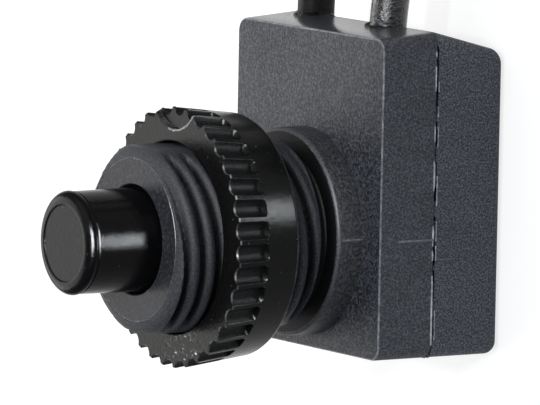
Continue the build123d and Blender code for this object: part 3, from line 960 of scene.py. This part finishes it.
def nut_shape(row, angle, radius, z):
    """Places a point of the nut, with its scallops, gate recess and chipped lower face."""
    if first_rim_row <= row < first_face_row + FACE_ROWS:
        radius = min(radius, scalloped_radius(angle, z) - (z == NUT_END_Z) * NUT_FRONT_EDGE)
    x, y = radius * math.cos(angle), radius * math.sin(angle)
    from_gate = math.hypot(x, y - GATE_Y)
    recess = GATE_DEPTH * (1 - smooth_step(GATE_RADIUS - GATE_WALL, GATE_RADIUS, from_gate))
    face_z = NUT_END_Z - recess
    if row >= first_face_row and radius > NUT_BORE + CHIP_CLEARANCE:
        pattern = noise.noise(Vector((x * CHIP_DENSITY, y * CHIP_DENSITY, CHIP_SEED)))
        low_side = smooth_step(*CHIP_SPREAD, -math.sin(angle - CHIP_TURN))
        face_z -= CHIP_DEPTH * low_side * smooth_step(*CHIP_RANGE, pattern)
    if row >= first_face_row and radius > NUT_BORE:
        z = min(z, face_z)
    elif z > face_z - NUT_FRONT_EDGE and radius > NUT_BORE:
        z = face_z - NUT_FRONT_EDGE
    return (x, y, z)


def below_rim(middle):
    """How far a place on the nut lies inside the rim without scallops."""
    return nut_outer_radius(middle.z) - math.hypot(middle.x, middle.y)


def in_scallop(normal, middle):
    """Whether a face is on the floor of a scallop."""
    on_floor = EDGE_DROP < below_rim(middle) < SCALLOP_DEPTH + SCALLOP_SPARE
    return on_floor and abs(normal.z) < NUT_SIDE_SLOPE


def on_highlit_nut_edge(normal, middle):
    """Whether a face is on a ridge's edge, on the front face's edge or on the rear edge, where a
    highlight is painted.
    """
    along_ridge = RIDGE_TOP < below_rim(middle) < EDGE_DROP and abs(normal.z) < NUT_SIDE_SLOPE
    leaning = NUT_EDGE_SLOPES[0] < normal.z < NUT_EDGE_SLOPES[1]
    at_front = leaning and middle.z > NUT_END_Z - GATE_DEPTH
    behind = NUT_Z + NUT_EDGE_BEND * NUT_REAR_EDGE < middle.z < NUT_Z + NUT_REAR_EDGE
    at_rear = behind and normal.z < -NUT_SIDE_SLOPE
    return along_ridge or at_front or at_rear


def on_gate_edge(normal, middle):
    """Whether a face is on the gate recess's edge towards +X, where a highlight is painted."""
    from_edge = math.hypot(middle.x, middle.y - GATE_Y) - GATE_RADIUS
    on_face = middle.z > NUT_END_Z - EDGE_DROP
    return on_face and middle.x > GATE_HIGHLIGHT_X and 0 < from_edge < GATE_EDGE


def on_chip(normal, middle):
    """Whether a face is on the side of a chip in the nut's lower face."""
    on_ring = NUT_BORE + NUT_COUNTERSINK < math.hypot(middle.x, middle.y) < NUT_RADIUS - SCALLOP_DEPTH
    on_face = middle.y < 0 and middle.z > NUT_END_Z - CHIP_DEPTH
    return on_ring and on_face and 0 < normal.z < CHIP_SLOPE


nut = new_object(
    "scalloped_nut",
    *lathed(nut_profile, nut_columns, nut_shape, closed=True),
    "nut",
    nut_plastic,
    smooth_angle=35,
    accents=(
        (scallop_plastic, in_scallop),
        (nut_edge_highlight, on_highlit_nut_edge),
        (edge_highlight_paint, on_gate_edge),
        (chip_plastic, on_chip),
    ),
)
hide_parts("knurled_nut")

# Button


def collar_tooth(turn):
    """A crown tooth under the button's collar, turned into its place."""
    corners = []
    for x in (TOOTH_INNER, TOOTH_INNER + TOOTH_LENGTH):
        corners.append(turn @ Vector((x, -TOOTH_HALF_WIDTH, COLLAR_Z)))
        corners.append(turn @ Vector((x, TOOTH_HALF_WIDTH, COLLAR_Z)))
        corners.append(turn @ Vector((x, -TOOTH_HALF_WIDTH, COLLAR_Z - TOOTH_HEIGHT)))
    return corners, WEDGE_FACES


rim_z = BUTTON_END_Z - RIM_LENGTH
face_z = BUTTON_END_Z - FACE_SINK
button_profile = [
    (HOLLOW_RADIUS, HOLLOW_TOP_Z),
    (HOLLOW_RADIUS, COLLAR_Z),
    (COLLAR_RADIUS, COLLAR_Z),
    (COLLAR_RADIUS, COLLAR_TOP_Z),
    (BUTTON_RADIUS, COLLAR_TOP_Z),
    (BUTTON_RADIUS, BUSHING_END_Z),
    (NECK_BEHIND_RIM + NECK_FLARE, rim_z - UNDERCUT_DROPS[0]),
    (NECK_BEHIND_RIM - UNDERCUT, rim_z - UNDERCUT_DROPS[1]),
    (NECK_BEHIND_RIM - UNDERCUT, rim_z - UNDERCUT_DROPS[2]),
    (RIM_RADIUS - RIM_CORNER, rim_z),
]
for step in range(RIM_STEPS + 1):
    angle = math.pi / 2 * step / RIM_STEPS
    radius = RIM_RADIUS - RIM_WIDTH * (1 - math.cos(angle))
    button_profile.append((radius, BUTTON_END_Z - RIM_RISE * (1 - math.sin(angle))))
button_profile += [
    (FACE_RADIUS + FACE_LIP, BUTTON_END_Z - FACE_LIP_DROP),
    (FACE_RADIUS - FACE_FOOT, face_z),
    (FACE_RADIUS / 2, face_z),
    (AXIS_RADIUS, face_z),
]
button_verts, button_faces = lathed(button_profile, even_columns(BUTTON_COLUMNS))
button_faces.append(tuple(range(BUTTON_COLUMNS)))
button_bodies = [(button_verts, button_faces)]
for angle in even_columns(TOOTH_COUNT):
    button_bodies.append(collar_tooth(Matrix.Rotation(angle, 3, "Z")))
button = new_object("button", *joined(button_bodies), "button", button_plastic, smooth_angle=35)
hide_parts("push_button")

# Pieces inside keep their CAD shapes

inner_finishes = {
    "index_rotor": rotor_plastic,
    "contact_spider": brass,
    "left_terminal": brass,
    "right_terminal": brass,
    "left_contact": silver,
    "right_contact": silver,
    "left_conductor": copper,
    "right_conductor": copper,
}
for node, finish in inner_finishes.items():
    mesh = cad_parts[node].data
    mesh.materials.clear()
    mesh.materials.append(finish)

# Return spring, riding on the rotor

spring_rings = []
ring_count = SPRING_TURNS * SPRING_STEPS + 1
for ring in range(ring_count):
    share = ring / (ring_count - 1)
    angle = 2 * math.pi * SPRING_TURNS * share
    out = Vector((math.cos(angle), math.sin(angle), 0))
    rise = SPRING_LOW_Z + SPRING_WIRE + (SPRING_HIGH_Z - SPRING_LOW_Z - 2 * SPRING_WIRE) * share
    points = []
    for around in even_columns(WIRE_STEPS):
        point = out * (SPRING_RADIUS + SPRING_WIRE * math.cos(around))
        points.append((point.x, point.y, rise + SPRING_WIRE * math.sin(around)))
    spring_rings.append(points)
spring = new_object("spring", *stacked(spring_rings), "rotor", steel, smooth_angle=60)
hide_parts("return_spring")
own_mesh(spring)

# Leads: out of the case, down to the table and into a tied hank


def fold(x0, x1, y, way, z):
    """Points of a half turn of the hank from one run to the next.

    The smooth curve runs inside its points, by their weights of 3/4 and 1/8, so they stand out further.
    """
    step = math.pi / (FOLD_POINTS - 1)
    centre = (x0 + x1) / 2
    radius = abs(x1 - x0) / 2 / (0.75 + 0.25 * math.cos(step))
    side = 1 if x0 > x1 else -1
    points = []
    for index in range(FOLD_POINTS):
        angle = step * index
        x = centre + side * radius * math.cos(angle)
        points.append((x, y + way * radius * math.sin(angle), z))
    return points


def lead_route(exit_points, side, z, end_y):
    """Control points of one lead: its exit, then out, round, back and round again in the hank."""
    route = list(exit_points)
    route.append((side * OUTER_STRAND_X, (HANK_NEAR_Y + HANK_FAR_Y) / 2, z))
    route += fold(side * OUTER_STRAND_X, -side * RETURN_STRAND_X, HANK_FAR_Y, 1, z)
    route.append((-side * RETURN_STRAND_X, (HANK_NEAR_Y + HANK_FAR_Y) / 2, z))
    route += fold(-side * RETURN_STRAND_X, side * INNER_STRAND_X, HANK_NEAR_Y, -1, z)
    route.append((side * INNER_STRAND_X, end_y, z))
    return route


def lead_curve(name, route, finish):
    """A lead as one smooth spline with a round section."""
    curve = bpy.data.curves.new(name, "CURVE")
    curve.dimensions = "3D"
    curve.bevel_depth = LEAD_RADIUS * MM
    curve.bevel_resolution = LEAD_SECTION_STEPS
    curve.use_fill_caps = True
    spline = curve.splines.new("NURBS")
    spline.points.add(len(route) - 1)
    for point, place in zip(spline.points, route):
        point.co = (*[value * MM for value in place], 1)
    spline.order_u = LEAD_SPLINE_ORDER
    spline.use_endpoint_u = True
    spline.resolution_u = LEAD_SPLINE_STEPS
    curve.materials.append(finish)
    piece = bpy.data.objects.new(name, curve)
    scene.collection.objects.link(piece)
    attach(piece, "case")
    return piece


def stripped_end(name, x, y, z):
    """A twist of bare strands at a lead's free end."""
    places = [(0.0, 0.0)]
    for angle in even_columns(STRANDS_AROUND):
        places.append((STRAND_CIRCLE * math.cos(angle), STRAND_CIRCLE * math.sin(angle)))
    strands = []
    for across, up in places:
        rings = []
        for ring in range(STRAND_RINGS):
            share = ring / (STRAND_RINGS - 1)
            twist = STRAND_TWIST * share
            strand_x = x + (across * math.cos(twist) - up * math.sin(twist))
            strand_z = z + (across * math.sin(twist) + up * math.cos(twist))
            points = []
            for around in even_columns(STRAND_SIDES):
                out_x, out_z = STRAND_RADIUS * math.cos(around), STRAND_RADIUS * math.sin(around)
                points.append((strand_x + out_x, y + STRIPPED_LENGTH * share, strand_z + out_z))
            rings.append(points)
        strands.append(stacked(rings))
    piece = new_object(name, *joined(strands), "case", copper, smooth_angle=60)
    return piece


def sealant_and_shade_bead(name, lead_x):
    """An uneven bead of sealant in the corner between a lead and the case, near-black so that it also
    paints the contact shadow at the lead's root.
    """
    sections = []
    for angle in even_columns(BEAD_STEPS):
        out = Vector((math.cos(angle), 0, math.sin(angle)))
        foot = Vector((lead_x, 0, PARTING_Z)) + out * LEAD_RADIUS
        foot.y = min(front_lead_y(foot.z), rear_lead_y(foot.z))
        size = BEAD_SIZE * (1 + BEAD_SWING * noise.noise(foot * BEAD_WAVES))
        section = []
        for away, rise in BEAD_SECTION:
            section.append(foot + out * size * away + Vector((0, size * rise, 0)))
        sections.append(section)
    piece = new_object(name, *stacked(sections, closed=True), "case", sealant_and_contact_shade, smooth_angle=60)
    return piece


left_exit = [
    (LEFT_LEAD_X, LEAD_START_Y, PARTING_Z),
    (LEFT_LEAD_X, 15.9, PARTING_Z),
    (-OUTER_STRAND_X, 23.1, LEFT_LAYER_Z),
    (-OUTER_STRAND_X, HANK_NEAR_Y, LEFT_LAYER_Z),
]
right_exit = [
    (RIGHT_LEAD_X, LEAD_START_Y, PARTING_Z),
    (RIGHT_LEAD_X, 16.2, PARTING_Z),
    (OUTER_STRAND_X, 26.0, RIGHT_LAYER_Z),
    (OUTER_STRAND_X, 33.2, RIGHT_LAYER_Z),
]
left_lead = lead_curve("left_wire", lead_route(left_exit, -1, LEFT_LAYER_Z, LEFT_END_Y), left_pvc)
right_lead = lead_curve("right_wire", lead_route(right_exit, 1, RIGHT_LAYER_Z, RIGHT_END_Y), right_pvc)
left_bare = stripped_end("left_bare_end", -INNER_STRAND_X, LEFT_END_Y - STRIPPED_LAP, LEFT_LAYER_Z)
right_bare = stripped_end("right_bare_end", INNER_STRAND_X, RIGHT_END_Y - STRIPPED_LAP, RIGHT_LAYER_Z)
for name, lead_x in (("left_sealant_shade", LEFT_LEAD_X), ("right_sealant_shade", RIGHT_LEAD_X)):
    sealant_and_shade_bead(name, lead_x)
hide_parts("left_lead", "left_lead_hank")
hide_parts("right_lead", "right_lead_hank")

# Strap tie round the hank


def strap_ring(grow, y):
    """The strap's rounded loop round the bundle at one Y, grown outwards."""
    low_x, high_x = TIE_LOW_X - grow, TIE_HIGH_X + grow
    low_z, high_z = LEFT_LAYER_Z - LEAD_RADIUS - grow, RIGHT_LAYER_Z + LEAD_RADIUS + grow
    radius = TIE_CORNER + grow
    corners = (
        (high_x - radius, high_z - radius, 0),
        (low_x + radius, high_z - radius, 90),
        (low_x + radius, low_z + radius, 180),
        (high_x - radius, low_z + radius, 270),
    )
    points = []
    for x, z, start in corners:
        for step in range(TIE_CORNER_STEPS + 1):
            angle = math.radians(start + 90 * step / TIE_CORNER_STEPS)
            points.append((x + radius * math.cos(angle), y, z + radius * math.sin(angle)))
    return points


tie_low, tie_high = TIE_Y - TIE_WIDTH / 2, TIE_Y + TIE_WIDTH / 2
strap_rings = [
    strap_ring(0.0, tie_low + TIE_INNER_EDGE),
    strap_ring(TIE_THICKNESS * TIE_EDGE_BEND, tie_low),
    strap_ring(TIE_THICKNESS, tie_low + TIE_EDGE),
    strap_ring(TIE_THICKNESS, tie_high - TIE_EDGE),
    strap_ring(TIE_THICKNESS * TIE_EDGE_BEND, tie_high),
    strap_ring(0.0, tie_high - TIE_INNER_EDGE),
]
strap_top = RIGHT_LAYER_Z + LEAD_RADIUS + TIE_THICKNESS
head_top = strap_top + TIE_HEAD_HEIGHT
head_inset, head_drop = TIE_HEAD_EDGE
head_levels = []
for inset, z in ((0, strap_top - TIE_HEAD_SINK), (0, head_top - head_drop), (head_inset, head_top)):
    half_width, half_length = TIE_HEAD_HALF_WIDTH - inset, TIE_HEAD_HALF_LENGTH - inset
    outline = rounded_outline(half_width, -half_length, half_length, TIE_HEAD_CORNER, z)
    head_levels.append([(x + TIE_HEAD_X, y + TIE_Y, z) for x, y, z in outline])
tie_bodies = [stacked(strap_rings, closed=True), stacked(head_levels)]
tie = new_object("strap_tie", *joined(tie_bodies), "case", tie_plastic)
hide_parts("lead_tie")

# Stage, lights and camera

FLOOR_HALF_SIDE = 3000
FLOOR_DROP = 0.05
FLOOR_ROUGHNESS = 0.9
FLOOR_WHITE = (0.38, 0.38, 0.38)
FLOOR_BOUNCE = (0.40, 0.43, 0.48)
FLOOR_LIFT = 0.76
SKY_COLOUR = (0.88, 0.94, 1.0)
SKY_STRENGTH = 0.3
WARM_WHITE = (1.0, 0.98, 0.96)
SUNNY_WHITE = (1.0, 0.975, 0.95)
PALE_BLUE = (0.95, 0.98, 1.0)
SKY_BLUE = (0.92, 0.97, 1.0)
SWITCH_MIDDLE = (0, 2, 14)
BUSHING_FRONT = (4, 0.6, 22.6)
BUTTON_RIM = (3, 0, 24.7)
LEAD_ROOT = (RIGHT_LEAD_X, 13.5, 4.9)


def stage_floor():
    """A wide pale floor under the switch, whiter to the eye than in the light that it throws back."""
    half = FLOOR_HALF_SIDE * MM
    mesh = bpy.data.meshes.new("floor")
    corners = [(-half, -half, 0), (half, -half, 0), (half, half, 0), (-half, half, 0)]
    mesh.from_pydata(corners, [], [(0, 1, 2, 3)])
    material, tree, shader = new_material("floor_white")
    shader.inputs["Roughness"].default_value = FLOOR_ROUGHNESS
    shader.inputs["Specular IOR Level"].default_value = 0.0
    shader.inputs["Emission Color"].default_value = (1, 1, 1, 1)
    path = add_node(tree, "LightPath")
    seen = path.outputs["Is Camera Ray"]
    for kind in ("Is Glossy Ray", "Is Transmission Ray"):
        seen = combined(tree, "MAXIMUM", seen, path.outputs[kind])
    tones = {"Color1": (*FLOOR_BOUNCE, 1), "Color2": (*FLOOR_WHITE, 1)}
    tone = add_node(tree, "MixRGB", tones, {"Fac": seen})
    tree.links.new(tone.outputs[0], shader.inputs["Base Color"])
    lift = add_node(tree, "Math", {1: FLOOR_LIFT}, {0: seen}, "MULTIPLY")
    tree.links.new(lift.outputs[0], shader.inputs["Emission Strength"])
    mesh.materials.append(material)
    floor = bpy.data.objects.new("floor", mesh)
    floor.location = (0, 0, -FLOOR_DROP * MM)
    scene.collection.objects.link(floor)


def soft_light(name, place, target, size, power, colour):
    """A rectangular softbox aimed at a point. Places are in millimetres."""
    lamp = bpy.data.lights.new(name, "AREA")
    lamp.shape = "RECTANGLE"
    lamp.size, lamp.size_y = size[0] * MM, size[1] * MM
    lamp.energy = power
    lamp.color = colour
    holder = bpy.data.objects.new(name, lamp)
    holder.location = Vector(place) * MM
    aim = Vector(target) - Vector(place)
    holder.rotation_mode = "QUATERNION"
    holder.rotation_quaternion = aim.to_track_quat("-Z", "Y")
    holder.visible_camera = False
    scene.collection.objects.link(holder)
    return holder


def gloss_light(name, pieces, *settings):
    """A softbox that acts only on the gloss of a few pieces."""
    lamp = soft_light(name, *settings)
    lamp.visible_diffuse = False
    lit = bpy.data.collections.new(lamp.name + "_pieces")
    for piece in pieces:
        lit.objects.link(piece)
    lamp.light_linking.receiver_collection = lit


stage_floor()
soft_light("key", (-75, 260, 420), SWITCH_MIDDLE, (450, 450), 0.9, WARM_WHITE)
soft_light("window", (-420, -55, 265), SWITCH_MIDDLE, (400, 400), 1.7, SUNNY_WHITE)
soft_light("spark", (200, 77, 464), SWITCH_MIDDLE, (40, 40), 0.6, SKY_BLUE)
soft_light("fill", (430, 40, 20), SWITCH_MIDDLE, (300, 300), 0.3, SKY_BLUE)
gloss_light("sheen", (nut, bushing), (240, 180, 385), SWITCH_MIDDLE, (300, 300), 24, PALE_BLUE)
gloss_light("nut_strip", (nut,), (18.6, 8.6, 1.6), BUSHING_FRONT, (5.5, 3.4), 0.0034, SKY_BLUE)
gloss_light("button_strip", (button,), (26, 2.6, 8.7), BUSHING_FRONT, (11, 5), 0.0145, SKY_BLUE)
gloss_light("lead_strip", (right_lead,), (13.6, 10.7, 21.4), LEAD_ROOT, (8, 12), 0.004, PALE_BLUE)
gloss_light("rim_strip", (button,), (16.2, 3.2, 45.5), BUTTON_RIM, (16, 14), 0.16, PALE_BLUE)

world = bpy.data.worlds.new("studio")
scene.world = world
world.use_nodes = True
background = world.node_tree.nodes["Background"]
background.inputs["Color"].default_value = (*SKY_COLOUR, 1)
background.inputs["Strength"].default_value = SKY_STRENGTH

camera_data = bpy.data.cameras.new("camera")
camera_data.lens = CAMERA_LENS
camera_data.sensor_width = SENSOR_WIDTH
camera_data.sensor_fit = "HORIZONTAL"
camera_data.clip_start = CAMERA_REACH[0] * MM
camera_data.clip_end = CAMERA_REACH[1] * MM
camera = bpy.data.objects.new("camera", camera_data)
columns = (Vector(CAMERA_RIGHT), Vector(CAMERA_UP), Vector(CAMERA_BACK))
camera.rotation_mode = "QUATERNION"
camera.rotation_quaternion = Matrix(columns).transposed().to_quaternion()
camera.location = Vector(CAMERA_PLACE) * MM
scene.collection.objects.link(camera)
scene.camera = camera
scene.view_settings.view_transform = "Standard"
